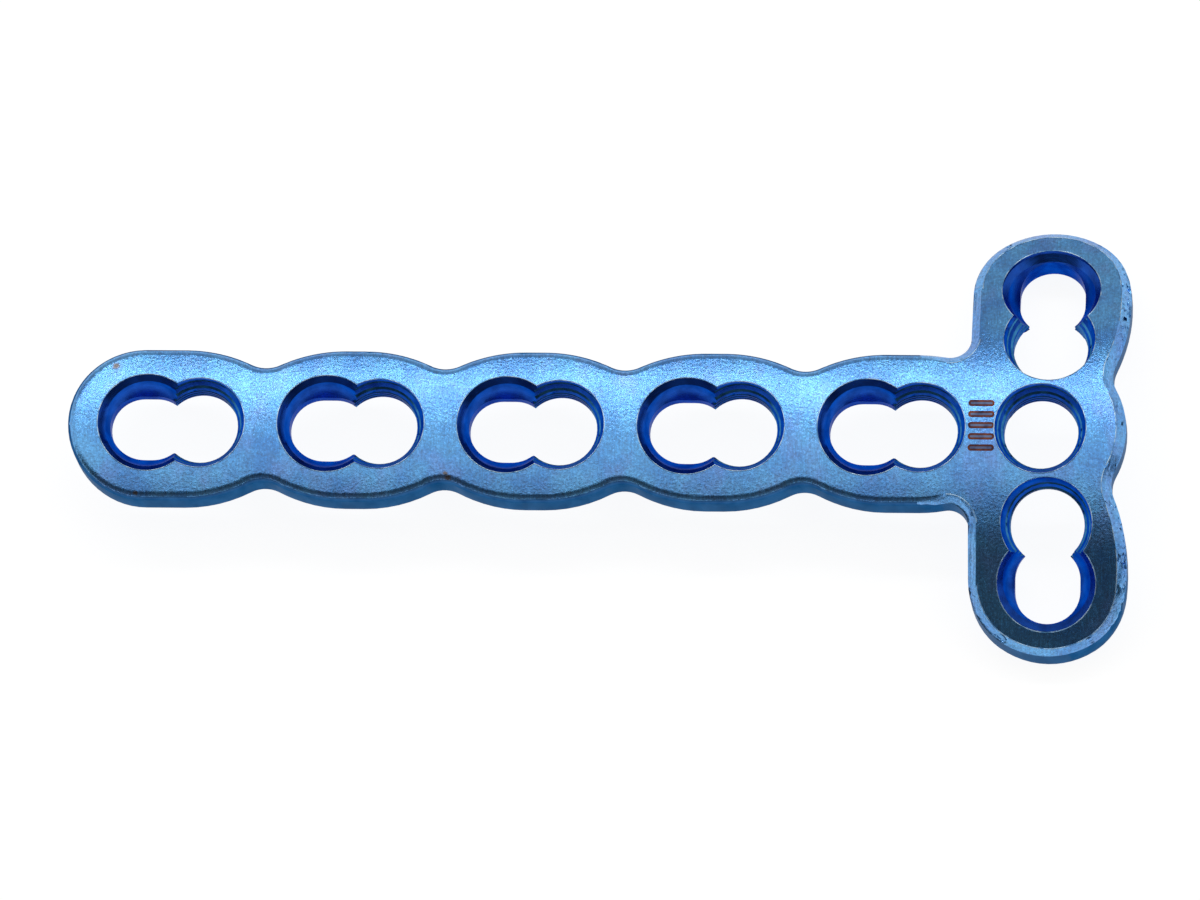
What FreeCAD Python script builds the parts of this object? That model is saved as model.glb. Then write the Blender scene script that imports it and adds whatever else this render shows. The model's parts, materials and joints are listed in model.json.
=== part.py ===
import FreeCAD, Part
import math
import os
import re

import Sketcher

V = FreeCAD.Vector

doc = FreeCAD.newDocument("BonePlate")

# The driving dimensions, in millimetres and degrees. While the plate is drawn, X runs along
# the shaft toward the head, Y across it and Z up through the side that the screw heads sit
# in. X = 0 is the axis of the single round hole in the head, Z = 0 the top of the crown.
SIZES = (
    ("thickness", 2.7, "plate thickness, square to its faces"),
    ("crown_radius", 21.0, "outer radius of the curve across the plate"),
    ("arm_slope", 24.0, "angle by which each arm falls away, in degrees"),
    ("shaft_width", 10.28, "width of the shaft at a hole"),
    ("waist_width", 7.78, "width of the shaft between two holes"),
    ("lobe_radius", 10.0, "outline radius beside a hole"),
    ("waist_radius", 2.15, "outline radius at the bottom of a waist"),
    ("shaft_holes", 5, "number of combination holes in the shaft"),
    ("hole_pitch", 12.0, "distance from one shaft hole to the next"),
    ("neck_distance", 9.7, "head hole axis to the centre of the nearest shaft hole"),
    ("end_overhang", 1.98, "centre of the last shaft hole to the centre of the end arc"),
    ("neck_flat", 1.6, "how far the shaft keeps its width past the hole at the neck"),
    ("neck_radius", 1.38, "inside radius between shaft and arm"),
    ("arm_back", 4.75, "head hole axis to the straight side of the arms"),
    ("arm_front", 5.8, "head hole axis to the foremost point of the arms"),
    ("arm_reach", 14.45, "middle of the plate to the tip of an arm"),
    ("tip_flatness", 0.72, "tip radius less half the width of the arm"),
    ("corner_radius", 4.4, "outline radius at each side of the tip"),
    ("belly_radius", 11.4, "outline radius of the arm's front side"),
    ("belly_place", 8.9, "middle of the plate to the foremost point of an arm"),
    ("dip_radius", 2.0, "outline radius of the dip beside the nose"),
    ("nose_radius", 5.7, "outline radius of the nose ahead of the head hole"),
    ("nose_reach", 5.68, "head hole axis to the tip of the nose"),
    ("top_edge_radius", 0.65, "rounding of the edges on the screw side"),
    ("under_edge_bevel", 0.2, "bevel of the edges on the bone side"),
    ("thread_radius", 2.47, "crest radius of the locking thread"),
    ("thread_rim_radius", 3.07, "mouth radius of a threaded hole"),
    ("thread_rim_depth", 0.3, "depth of the straight mouth of a threaded hole"),
    ("thread_taper_depth", 1.4, "depth at which the mouth has narrowed to the crests"),
    ("thread_offset", 1.69, "shaft hole centre to the axis of its threaded half"),
    ("cup_offset", 1.8, "shaft hole centre to the axis of its compression half"),
    ("cup_rim_radius", 3.31, "mouth radius of a compression half"),
    ("cup_rim_depth", 0.3, "depth of the straight mouth of a compression half"),
    ("cup_lip_depth", 0.7, "depth at which the lip meets the ball seat"),
    ("cup_seat_radius", 3.0, "radius of the ball seat for a screw head"),
    ("slot_width", 4.35, "width of the slot below a ball seat"),
    ("slot_travel", 0.8, "length of that slot over and above its width"),
    ("arm_axis_shift", 0.47, "head hole axis to the axis of the arm holes, toward the nose"),
    ("arm_hole_place", 8.25, "middle of the plate to the centre of an arm hole"),
    ("arm_hole_lean", 8.0, "outward lean of an arm hole's axis, in degrees"),
    ("arm_thread_offset", 2.05, "arm hole centre to its threaded half, inward"),
    ("arm_cup_offset", 1.95, "arm hole centre to its compression half, outward"),
    ("cut_clearance", 4.0, "how far a cutting shape reaches past the plate"),
)
ALIASES = {alias for alias, _, _ in SIZES}

sheet = doc.addObject("Spreadsheet::Sheet", "Sizes")
for row, (alias, value, note) in enumerate(SIZES, start=1):
    sheet.set(f"A{row}", alias)
    sheet.set(f"B{row}", str(value))
    sheet.setAlias(f"B{row}", alias)
    sheet.set(f"C{row}", note)
doc.recompute()

# Formulas that more than one feature uses.
HALF_SHAFT = "shaft_width / 2"
LAST_HOLE = "(neck_distance + hole_pitch * (shaft_holes - 1))"
BLANK_REACH = f"({LAST_HOLE} + end_overhang + shaft_width / 2 + cut_clearance)"
BLANK_HALF_WIDTH = "(arm_reach + cut_clearance)"
ARM_HALF_WIDTH = "((arm_back + arm_front) / 2)"
TIP_RADIUS = f"({ARM_HALF_WIDTH} + tip_flatness)"
SLOPE_START = "(crown_radius * (1 / cos(arm_slope) - 1))"


def worth(formula):
    """The value of a formula in the sheet's own names."""
    result = sheet.evalExpression(formula)
    return float(getattr(result, "Value", result))


def bound(formula):
    """The formula with each name pointed at its cell in the sheet."""
    return re.sub(
        r"[a-z_]+", lambda m: f"Sizes.{m[0]}" if m[0] in ALIASES else m[0], formula
    )


def base_feature(body, role):
    """One of the body's own base planes or axes."""
    return next(f for f in body.Origin.OriginFeatures if f.Role == role)


def new_sketch(body, name, role, place, turn_axis=None, turn=None):
    """A sketch on a base plane, moved by formulas and turned about an axis by another."""
    sketch = body.newObject("Sketcher::SketchObject", name)
    sketch.AttachmentSupport = [(base_feature(body, role), "")]
    sketch.MapMode = "FlatFace"
    if turn:
        lean = FreeCAD.Rotation(turn_axis, worth(turn))
        sketch.AttachmentOffset = FreeCAD.Placement(V(0, 0, 0), lean)
        sketch.setExpression("AttachmentOffset.Rotation.Angle", f"{bound(turn)} * 1 deg")
    for axis, formula in zip("xyz", place):
        if formula != "0":
            sketch.setExpression(f"AttachmentOffset.Base.{axis}", f"{bound(formula)} * 1 mm")
    return sketch


def rule(sketch, kind, *where, formula=None):
    """One constraint; with a formula, its value is bound to the sheet."""
    if formula is None:
        sketch.addConstraint(Sketcher.Constraint(kind, *where))
        return
    index = sketch.addConstraint(Sketcher.Constraint(kind, *where, worth(formula)))
    sketch.setExpression(f"Constraints[{index}]", bound(formula))


def pin(sketch, geometry, end, x="0", y="0"):
    """Holds one point of the sketch at the place that two formulas give."""
    if x == "0":
        rule(sketch, "PointOnObject", geometry, end, -2)
    elif x is not None:
        rule(sketch, "DistanceX", -1, 1, geometry, end, formula=x)
    if y == "0":
        rule(sketch, "PointOnObject", geometry, end, -1)
    elif y is not None:
        rule(sketch, "DistanceY", -1, 1, geometry, end, formula=y)


def path(sketch, corners):
    """Straight lines through the corners, each corner held by its two formulas."""
    points = [V(worth(x), worth(y), 0) for x, y in corners]
    lines = [
        sketch.addGeometry(Part.LineSegment(a, b), False)
        for a, b in zip(points, points[1:])
    ]
    for one, following in zip(lines, lines[1:]):
        rule(sketch, "Coincident", one, 2, following, 1)
    for line, (x, y) in zip(lines, corners):
        pin(sketch, line, 1, x, y)
    pin(sketch, lines[-1], 2, *corners[-1])
    return lines


def add_arc(sketch, centre, radius, start, end):
    """A counter-clockwise arc, drawn from the direction of start to that of end."""
    a = math.atan2(start.y - centre.y, start.x - centre.x)
    b = math.atan2(end.y - centre.y, end.x - centre.x)
    circle = Part.Circle(centre, V(0, 0, 1), radius)
    return sketch.addGeometry(Part.ArcOfCircle(circle, a, b if b > a else b + 2 * math.pi), False)


def meeting_point(c1, r1, c2, r2, side):
    """The point r1 from c1 and r2 from c2: side 1 is left of the way from c1 to c2."""
    way = c2 - c1
    along = (r1**2 - r2**2 + way.Length**2) / (2 * way.Length)
    across = math.sqrt(max(r1**2 - along**2, 0.0))
    way.normalize()
    return c1 + way * along + V(-way.y, way.x, 0) * across * side


def toward(centre, other, reach):
    """The point at a distance from a centre, on the line to another point."""
    way = other - centre
    way.normalize()
    return centre + way * reach


def bent_blank(body):
    """The blank: the plate's bent section, carried along the whole length."""
    sketch = new_sketch(body, "Section", "YZ_Plane", ("0", "0", "0"))
    reach = BLANK_HALF_WIDTH
    line_height = f"({SLOPE_START} - tan(arm_slope) * {reach})"
    inner = "(crown_radius - thickness)"
    top_bend = ("crown_radius * sin(arm_slope)", "-crown_radius * (1 - cos(arm_slope))")
    top_end = (reach, line_height)
    under_end = (reach, f"{line_height} - thickness / cos(arm_slope)")
    under_bend = (f"{inner} * sin(arm_slope)", f"{inner} * cos(arm_slope) - crown_radius")
    arms = []
    for side in ("1", "-1"):
        corners = [(f"{side} * {x}", y) for x, y in (top_bend, top_end, under_end, under_bend)]
        arms.append(path(sketch, corners))
    centre = V(0, -worth("crown_radius"), 0)
    for end, inside in ((0, "crown_radius"), (2, inner)):
        right, left = (sketch.Geometry[arm[end]] for arm in arms)
        points = [line.StartPoint if end == 0 else line.EndPoint for line in (right, left)]
        crown = add_arc(sketch, centre, worth(inside), *points)
        pos = 1 if end == 0 else 2
        rule(sketch, "Coincident", crown, 1, arms[0][end], pos)
        rule(sketch, "Coincident", crown, 2, arms[1][end], pos)
        rule(sketch, "Radius", crown, formula=inside)
    blank = body.newObject("PartDesign::Pad", "Blank")
    blank.Profile = sketch
    blank.Midplane = True
    blank.setExpression("Length", bound(f"2 * {BLANK_REACH}"))
    return blank


def outline_cut(body):
    """Cuts the blank to the T outline on one side of its middle plane."""
    sketch = new_sketch(body, "Outline", "XY_Plane", ("0", "0", "0"))
    half_shaft, lobe, neck = (worth(f) for f in (HALF_SHAFT, "lobe_radius", "neck_radius"))
    tip, corner, belly = (worth(f) for f in (TIP_RADIUS, "corner_radius", "belly_radius"))
    dip, nose = worth("dip_radius"), worth("nose_radius")
    back = -worth("arm_back")

    # centres of the arcs, from the shaft's end round to the nose
    end_c = V(-worth(f"{LAST_HOLE} + end_overhang"), 0, 0)
    lobe_c = V(-worth("neck_distance - neck_flat"), half_shaft - lobe, 0)
    neck_x = back - neck
    neck_c = V(neck_x, lobe_c.y + math.sqrt((lobe + neck) ** 2 - (neck_x - lobe_c.x) ** 2), 0)
    tip_c = V(worth("(arm_front - arm_back) / 2"), worth("arm_reach") - tip, 0)
    back_x = back + corner
    back_c = V(back_x, tip_c.y + math.sqrt((tip - corner) ** 2 - (back_x - tip_c.x) ** 2), 0)
    belly_c = V(worth("arm_front - belly_radius"), worth("belly_place"), 0)
    front_c = meeting_point(tip_c, tip - corner, belly_c, belly - corner, -1)
    nose_c = V(worth("nose_reach - nose_radius"), 0, 0)
    dip_c = meeting_point(nose_c, nose + dip, belly_c, belly + dip, -1)

    # points where they touch
    end_tip = end_c + V(-half_shaft, 0, 0)
    end_top = end_c + V(0, half_shaft, 0)
    lobe_top = lobe_c + V(0, lobe, 0)
    lobe_neck = toward(lobe_c, neck_c, lobe)
    neck_arm = neck_c + V(neck, 0, 0)
    arm_corner = back_c + V(-corner, 0, 0)
    back_tip = toward(tip_c, back_c, tip)
    tip_front = toward(tip_c, front_c, tip)
    front_belly = toward(belly_c, front_c, belly)
    belly_dip = toward(belly_c, dip_c, belly)
    dip_nose = toward(nose_c, dip_c, nose)
    nose_tip = nose_c + V(nose, 0, 0)

    def line(a, b):
        return sketch.addGeometry(Part.LineSegment(a, b), False), 1, 2

    def bulge(centre, radius, a, b):
        return add_arc(sketch, centre, radius, b, a), 2, 1

    def hollow(centre, radius, a, b):
        return add_arc(sketch, centre, radius, a, b), 1, 2

    end_arc = bulge(end_c, half_shaft, end_tip, end_top)
    side = line(end_top, lobe_top)
    lobe_arc = bulge(lobe_c, lobe, lobe_top, lobe_neck)
    neck_arc = hollow(neck_c, neck, lobe_neck, neck_arm)
    arm_side = line(neck_arm, arm_corner)
    back_arc = bulge(back_c, corner, arm_corner, back_tip)
    tip_arc = bulge(tip_c, tip, back_tip, tip_front)
    front_arc = bulge(front_c, corner, tip_front, front_belly)
    belly_arc = bulge(belly_c, belly, front_belly, belly_dip)
    dip_arc = hollow(dip_c, dip, belly_dip, dip_nose)
    nose_arc = bulge(nose_c, nose, dip_nose, nose_tip)
    chain = (
        end_arc, side, lobe_arc, neck_arc, arm_side, back_arc, tip_arc, front_arc,
        belly_arc, dip_arc, nose_arc,
    )
    for (one, _, last), (following, first, _) in zip(chain, chain[1:]):
        rule(sketch, "Tangent", one, last, following, first)
    radii = (
        (end_arc, HALF_SHAFT), (lobe_arc, "lobe_radius"), (neck_arc, "neck_radius"),
        (back_arc, "corner_radius"), (tip_arc, TIP_RADIUS), (front_arc, "corner_radius"),
        (belly_arc, "belly_radius"), (dip_arc, "dip_radius"), (nose_arc, "nose_radius"),
    )
    for (geometry, _, _), formula in radii:
        rule(sketch, "Radius", geometry, formula=formula)
    pin(sketch, end_arc[0], 3, x=f"-({LAST_HOLE} + end_overhang)")
    pin(sketch, end_arc[0], end_arc[1], x=None)
    rule(sketch, "Horizontal", side[0])
    pin(sketch, side[0], 2, x="neck_flat - neck_distance", y=None)
    rule(sketch, "Vertical", arm_side[0])
    pin(sketch, arm_side[0], 1, x="-arm_back", y=None)
    pin(sketch, tip_arc[0], 3, x="(arm_front - arm_back) / 2", y=f"arm_reach - {TIP_RADIUS}")
    pin(sketch, belly_arc[0], 3, x="arm_front - belly_radius", y="belly_place")
    pin(sketch, nose_arc[0], 3, x="nose_reach - nose_radius")
    pin(sketch, nose_arc[0], nose_arc[2], x=None)

    # the waste outside the outline, as far as the blank reaches
    far_x = f"({BLANK_REACH} + cut_clearance)"
    far_y = f"({BLANK_HALF_WIDTH} + cut_clearance)"
    frame = path(sketch, [(far_x, "0"), (far_x, far_y), (f"-{far_x}", far_y), (f"-{far_x}", "0")])
    start = sketch.Geometry[frame[0]].StartPoint
    finish = sketch.Geometry[frame[-1]].EndPoint
    ahead = line(nose_tip, start)[0]
    behind = line(finish, end_tip)[0]
    rule(sketch, "Coincident", nose_arc[0], nose_arc[2], ahead, 1)
    rule(sketch, "Coincident", ahead, 2, frame[0], 1)
    rule(sketch, "Coincident", frame[-1], 2, behind, 1)
    rule(sketch, "Coincident", behind, 2, end_arc[0], end_arc[1])
    return through_cut(body, "OutlineCut", sketch)


def through_cut(body, name, sketch):
    """A pocket that goes through the whole plate, both ways from its sketch."""
    cut = body.newObject("PartDesign::Pocket", name)
    cut.Profile = sketch
    cut.Type = "ThroughAll"
    cut.Midplane = True
    return cut


def waist_cut(body):
    """The waist between the two shaft holes nearest the head, on one side."""
    place = ("-(neck_distance + hole_pitch / 2)", "0", "0")
    sketch = new_sketch(body, "Waist", "XY_Plane", place)
    half_shaft, lobe, waist = (worth(f) for f in (HALF_SHAFT, "lobe_radius", "waist_radius"))
    waist_c = V(0, worth("waist_width / 2 + waist_radius"), 0)
    centre_y = half_shaft - lobe
    centre_x = math.sqrt((lobe + waist) ** 2 - (waist_c.y - centre_y) ** 2)
    left_c, right_c = V(-centre_x, centre_y, 0), V(centre_x, centre_y, 0)
    left_top, right_top = V(-centre_x, half_shaft, 0), V(centre_x, half_shaft, 0)
    left_touch = toward(left_c, waist_c, lobe)
    right_touch = toward(right_c, waist_c, lobe)
    left = add_arc(sketch, left_c, lobe, left_touch, left_top)
    bottom = add_arc(sketch, waist_c, waist, left_touch, right_touch)
    right = add_arc(sketch, right_c, lobe, right_top, right_touch)
    rule(sketch, "Tangent", left, 1, bottom, 1)
    rule(sketch, "Tangent", bottom, 2, right, 2)
    rule(sketch, "Radius", bottom, formula="waist_radius")
    pin(sketch, bottom, 3, y="waist_width / 2 + waist_radius")
    for lobe_arc, top in ((left, 2), (right, 1)):
        rule(sketch, "Radius", lobe_arc, formula="lobe_radius")
        pin(sketch, lobe_arc, 3, x=None, y=f"{HALF_SHAFT} - lobe_radius")
        rule(sketch, "Vertical", lobe_arc, 3, lobe_arc, top)
    far = worth(f"{HALF_SHAFT} + cut_clearance")
    ways = (
        (right_top, V(right_top.x, far, 0)),
        (V(right_top.x, far, 0), V(left_top.x, far, 0)),
        (V(left_top.x, far, 0), left_top),
    )
    up, across, down = (sketch.addGeometry(Part.LineSegment(a, b), False) for a, b in ways)
    rule(sketch, "Coincident", right, 1, up, 1)
    rule(sketch, "Coincident", up, 2, across, 1)
    rule(sketch, "Coincident", across, 2, down, 1)
    rule(sketch, "Coincident", down, 2, left, 2)
    rule(sketch, "Vertical", up)
    rule(sketch, "Vertical", down)
    rule(sketch, "Horizontal", across)
    pin(sketch, up, 2, x=None, y=f"{HALF_SHAFT} + cut_clearance")
    return through_cut(body, "WaistCut", sketch)


def row_of(body, name, features, spacing, count):
    """The features repeated along the shaft, away from the head."""
    row = body.newObject("PartDesign::LinearPattern", name)
    row.Originals = features
    row.Direction = (base_feature(body, "X_Axis"), [""])
    row.Reversed = True
    row.setExpression("Length", bound(f"{spacing} * ({count} - 1)"))
    row.setExpression("Occurrences", bound(count))
    body.Tip = row
    return row


def row_and_mirror(body, name, feature, spacing, count):
    """One feature repeated along the shaft and on the plate's other side."""
    both = body.newObject("PartDesign::MultiTransform", name)
    both.Originals = [feature]
    row = body.newObject("PartDesign::LinearPattern", f"{name}Steps")
    row.Direction = (base_feature(body, "X_Axis"), [""])
    row.Reversed = True
    row.setExpression("Length", bound(f"{spacing} * ({count} - 1)"))
    row.setExpression("Occurrences", bound(count))
    mirror = body.newObject("PartDesign::Mirrored", f"{name}Mirror")
    mirror.MirrorPlane = (base_feature(body, "XZ_Plane"), [""])
    both.Transformations = [row, mirror]
    body.Tip = both
    return both


def mirror_of(body, name, features):
    """The features again on the other side of the plate's middle plane."""
    mirror = body.newObject("PartDesign::Mirrored", name)
    mirror.Originals = features
    mirror.MirrorPlane = (base_feature(body, "XZ_Plane"), [""])
    body.Tip = mirror
    return mirror


def rim_edges(shape, upward):
    """Names of the edges between the side wall and the screw side, or the bone side."""
    names = []
    for number, edge in enumerate(shape.Edges, start=1):
        middle = edge.valueAt((edge.FirstParameter + edge.LastParameter) / 2)
        heights = []
        for face in shape.ancestorsOfType(edge, Part.Face):
            u, v = face.Surface.parameter(middle)
            heights.append(face.normalAt(u, v).z * upward)
        if len(heights) == 2 and max(heights) > 0.5 and abs(min(heights)) < 0.1:
            names.append(f"Edge{number}")
    return names


def dressed_edges(body, kind, name, upward, measure, formula):
    """Rounds or bevels all the edges of one side; measure is the property that is bound."""
    base = body.Tip
    dress = body.newObject(f"PartDesign::{kind}", name)
    dress.Base = (base, rim_edges(base.Shape, upward))
    dress.setExpression(measure, bound(formula))
    return dress


def turned_cut(body, name, sketch):
    """A cut made by turning the sketch about its own upright axis."""
    cut = body.newObject("PartDesign::Groove", name)
    cut.Profile = sketch
    cut.ReferenceAxis = (sketch, ["V_Axis"])
    cut.Angle = 360.0
    return cut


def threaded_hole(body, name, role, place, turn_axis=None, turn=None):
    """A locking hole: straight mouth, taper, then the bore at the thread's crests."""
    sketch = new_sketch(body, f"{name}Profile", role, place, turn_axis, turn)
    corners = [
        ("0", "cut_clearance"),
        ("thread_rim_radius", "cut_clearance"),
        ("thread_rim_radius", "-thread_rim_depth"),
        ("thread_radius", "-thread_taper_depth"),
        ("thread_radius", "-(thickness + cut_clearance)"),
        ("0", "-(thickness + cut_clearance)"),
        ("0", "cut_clearance"),
    ]
    path(sketch, corners)
    return turned_cut(body, name, sketch)


def ball_seat(body, name, role, place, turn_axis=None, turn=None):
    """The compression half: straight mouth, bevelled lip and a ball seat."""
    sketch = new_sketch(body, f"{name}Profile", role, place, turn_axis, turn)
    lip_radius = "sqrt(cup_seat_radius ^ 2 - cup_lip_depth ^ 2)"
    corners = [
        ("0", "-cup_seat_radius"),
        ("0", "cut_clearance"),
        ("cup_rim_radius", "cut_clearance"),
        ("cup_rim_radius", "-cup_rim_depth"),
        (lip_radius, "-cup_lip_depth"),
    ]
    lines = path(sketch, corners)
    low = V(0, -worth("cup_seat_radius"), 0)
    lip = V(worth(lip_radius), -worth("cup_lip_depth"), 0)
    seat = add_arc(sketch, V(0, 0, 0), worth("cup_seat_radius"), low, lip)
    rule(sketch, "Coincident", seat, 1, lines[0], 1)
    rule(sketch, "Coincident", seat, 2, lines[-1], 2)
    rule(sketch, "Radius", seat, formula="cup_seat_radius")
    return turned_cut(body, name, sketch)


def slot_cut(body, name, place, length_axis, turn_axis=None, turn=None):
    """The slot below a ball seat, in which the screw travels as it pulls the bone ends."""
    sketch = new_sketch(body, f"{name}Profile", "XY_Plane", place, turn_axis, turn)
    half, radius = worth("slot_travel / 2"), worth("slot_width / 2")
    along = V(1, 0, 0) if length_axis == "x" else V(0, 1, 0)
    side = V(-along.y, along.x, 0) * radius
    near, far = along * -half, along * half
    arcs = (
        add_arc(sketch, near, radius, near + side, near - side),
        add_arc(sketch, far, radius, far - side, far + side),
    )
    lines = (
        sketch.addGeometry(Part.LineSegment(near - side, far - side), False),
        sketch.addGeometry(Part.LineSegment(far + side, near + side), False),
    )
    rule(sketch, "Tangent", arcs[0], 2, lines[0], 1)
    rule(sketch, "Tangent", lines[0], 2, arcs[1], 1)
    rule(sketch, "Tangent", arcs[1], 2, lines[1], 1)
    rule(sketch, "Tangent", lines[1], 2, arcs[0], 1)
    for arc, sign in zip(arcs, ("-", "")):
        spot = f"{sign}slot_travel / 2"
        rule(sketch, "Radius", arc, formula="slot_width / 2")
        pin(sketch, arc, 3, **({"x": spot} if length_axis == "x" else {"y": spot}))
    return through_cut(body, name, sketch)


def shaft_combination_hole(body):
    """The combination hole nearest the head: threads toward it, ball seat away from it."""
    thread_place = ("-(neck_distance - thread_offset)", "0", "0")
    cup_place = ("-(neck_distance + cup_offset)", "0", "0")
    return [
        ball_seat(body, "ShaftSeat", "XZ_Plane", cup_place),
        slot_cut(body, "ShaftSlot", cup_place, "x"),
        threaded_hole(body, "ShaftThread", "XZ_Plane", thread_place),
    ]


def arm_combination_hole(body):
    """The combination hole in one arm: threads inward, ball seat toward the tip."""
    place, reach = "arm_hole_place", "crown_radius * sin(arm_slope)"
    on_crown = f"sqrt(crown_radius ^ 2 - {place} ^ 2) - crown_radius"
    on_slope = f"{SLOPE_START} - tan(arm_slope) * {place}"
    height = f"({place} < {reach} ? {on_crown} : {on_slope})"
    thread_place = (
        f"({place} - arm_thread_offset * cos(arm_hole_lean))",
        f"({height} + arm_thread_offset * sin(arm_hole_lean))",
        "arm_axis_shift",
    )
    cup_place = (
        f"({place} + arm_cup_offset * cos(arm_slope))",
        f"({on_slope} - arm_cup_offset * sin(arm_slope))",
        "arm_axis_shift",
    )
    slot_place = (cup_place[2], cup_place[0], cup_place[1])
    upright, along = V(0, 0, 1), V(1, 0, 0)
    return [
        ball_seat(body, "ArmSeat", "YZ_Plane", cup_place, upright, "-arm_slope"),
        slot_cut(body, "ArmSlot", slot_place, "y", along, "-arm_hole_lean"),
        threaded_hole(body, "ArmThread", "YZ_Plane", thread_place, upright, "-arm_hole_lean"),
    ]


def bone_plate():
    """The whole plate: one piece, milled from a bent blank."""
    body = doc.addObject("PartDesign::Body", "BonePlateBody")
    body.Label = "bone_plate"
    bent_blank(body)
    mirror_of(body, "OutlineOtherSide", [outline_cut(body)])
    row_and_mirror(body, "WaistRow", waist_cut(body), "hole_pitch", "(shaft_holes - 1)")
    doc.recompute()

    dressed_edges(body, "Fillet", "ScrewSideEdges", 1, "Radius", "top_edge_radius")
    doc.recompute()
    dressed_edges(body, "Chamfer", "BoneSideEdges", -1, "Size", "under_edge_bevel")
    doc.recompute()

    threaded_hole(body, "HeadHole", "XZ_Plane", ("0", "0", "0"))
    shaft = shaft_combination_hole(body)
    row_of(body, "ShaftHoleRow", shaft, "hole_pitch", "shaft_holes")
    mirror_of(body, "OtherArmHole", arm_combination_hole(body))
    doc.recompute()

    # the part's own origin: the middle of its overall box, at the lowest point
    box = body.Shape.optimalBoundingBox(False)
    body.Placement.Base = V(-box.Center.x, -box.Center.y, -box.ZMin)
    doc.recompute()
    return body


def check_and_export(bodies):
    """Stops on any broken object, then writes one file for each body."""
    os.makedirs("parts", exist_ok=True)
    for item in doc.Objects:
        if "Invalid" in item.State or "Error" in item.State:
            raise RuntimeError(f"{item.Name} is in state {item.State}")
    for body in bodies:
        if body.Shape.isNull() or not body.Shape.isValid() or len(body.Shape.Solids) != 1:
            raise RuntimeError(f"{body.Label} isn't one valid solid")
        body.Shape.exportStep(f"parts/{body.Label}.step")


check_and_export([bone_plate()])
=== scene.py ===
import json
import math

import bmesh
import bpy
from mathutils import Matrix, Vector


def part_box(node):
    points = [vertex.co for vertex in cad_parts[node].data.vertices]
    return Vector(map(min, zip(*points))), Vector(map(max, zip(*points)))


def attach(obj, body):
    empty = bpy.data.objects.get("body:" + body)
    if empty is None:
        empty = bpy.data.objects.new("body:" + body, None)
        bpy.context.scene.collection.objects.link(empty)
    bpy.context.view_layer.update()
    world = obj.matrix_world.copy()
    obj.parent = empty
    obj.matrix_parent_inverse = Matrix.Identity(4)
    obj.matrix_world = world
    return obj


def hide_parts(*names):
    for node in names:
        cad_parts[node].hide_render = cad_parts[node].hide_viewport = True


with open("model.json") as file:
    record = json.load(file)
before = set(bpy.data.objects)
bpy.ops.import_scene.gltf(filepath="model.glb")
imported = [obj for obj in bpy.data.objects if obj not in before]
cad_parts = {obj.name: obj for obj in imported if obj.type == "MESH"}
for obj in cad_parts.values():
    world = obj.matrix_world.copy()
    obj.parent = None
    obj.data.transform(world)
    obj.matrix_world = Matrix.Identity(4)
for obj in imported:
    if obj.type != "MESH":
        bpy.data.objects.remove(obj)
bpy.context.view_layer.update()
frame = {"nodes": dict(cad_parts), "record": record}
MM = 0.001

# The plate: one piece of titanium, milled from a bent blank, blasted, lightly brushed across
# and anodised blue. Its faces follow a crown with sloping arms, and its upright walls and its
# turned seats have finishes of their own, darker than the faces as painted shade.
PLATE_NODE = "bone_plate"
CROWN_RADIUS = 21.0 * MM
ARM_SLOPE = math.radians(24.0)
THICKNESS = 2.7 * MM
PLATE_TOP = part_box(PLATE_NODE)[1].z
STAINS = ((-32.18, 3.85, 0.30), (-30.65, -4.79, 0.22), (-9.98, -3.34, 0.20), (-9.78, -3.66, 0.27))
STAIN_SHIFT = 0.3
STAIN_RAGGED = 5.0
STAIN_SHARE = 0.9
STAIN_COLOUR = (0.10, 0.065, 0.04, 1)


def screw_side(y):
    """Height of the plate's upper face and its normal, at a distance from its middle plane."""
    bend = CROWN_RADIUS * math.sin(ARM_SLOPE)
    side = math.copysign(1.0, y)
    if abs(y) <= bend:
        drop = CROWN_RADIUS - math.sqrt(CROWN_RADIUS**2 - y**2)
        return PLATE_TOP - drop, Vector((0, y / CROWN_RADIUS, 1 - drop / CROWN_RADIUS))
    drop = CROWN_RADIUS * (1 - math.cos(ARM_SLOPE)) + (abs(y) - bend) * math.tan(ARM_SLOPE)
    return PLATE_TOP - drop, Vector((0, side * math.sin(ARM_SLOPE), math.cos(ARM_SLOPE)))


def bone_side(y):
    """The same for the lower face, which lies one thickness inside the upper one."""
    inner = CROWN_RADIUS - THICKNESS
    bend = inner * math.sin(ARM_SLOPE)
    side = math.copysign(1.0, y)
    if abs(y) <= bend:
        fall = inner - math.sqrt(inner**2 - y**2)
        return PLATE_TOP - THICKNESS - fall, Vector((0, -y / inner, fall / inner - 1))
    fall = inner * (1 - math.cos(ARM_SLOPE)) + (abs(y) - bend) * math.tan(ARM_SLOPE)
    normal = Vector((0, -side * math.sin(ARM_SLOPE), -math.cos(ARM_SLOPE)))
    return PLATE_TOP - THICKNESS - fall, normal


def node_line(tree, kind, values=None, links=None, **settings):
    """Adds one node: settings are its properties, values its inputs, links what feeds them."""
    node = tree.nodes.new(kind)
    for name, value in settings.items():
        setattr(node, name, value)
    for socket, value in (values or {}).items():
        node.inputs[socket].default_value = value
    for socket, source in (links or {}).items():
        tree.links.new(source, node.inputs[socket])
    return node


def new_finish(name):
    """An empty material with its shader, output and a metre-to-millimetre object position."""
    material = bpy.data.materials.new(name)
    material.use_nodes = True
    tree = material.node_tree
    tree.nodes.clear()
    place = node_line(tree, "ShaderNodeTexCoord").outputs["Object"]
    in_mm = node_line(
        tree, "ShaderNodeVectorMath", {1: (1000, 1000, 1000)}, {0: place}, operation="MULTIPLY"
    ).outputs["Vector"]
    shader = node_line(tree, "ShaderNodeBsdfPrincipled")
    node_line(tree, "ShaderNodeOutputMaterial", links={"Surface": shader.outputs[0]})
    return material, tree, in_mm, shader


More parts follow.
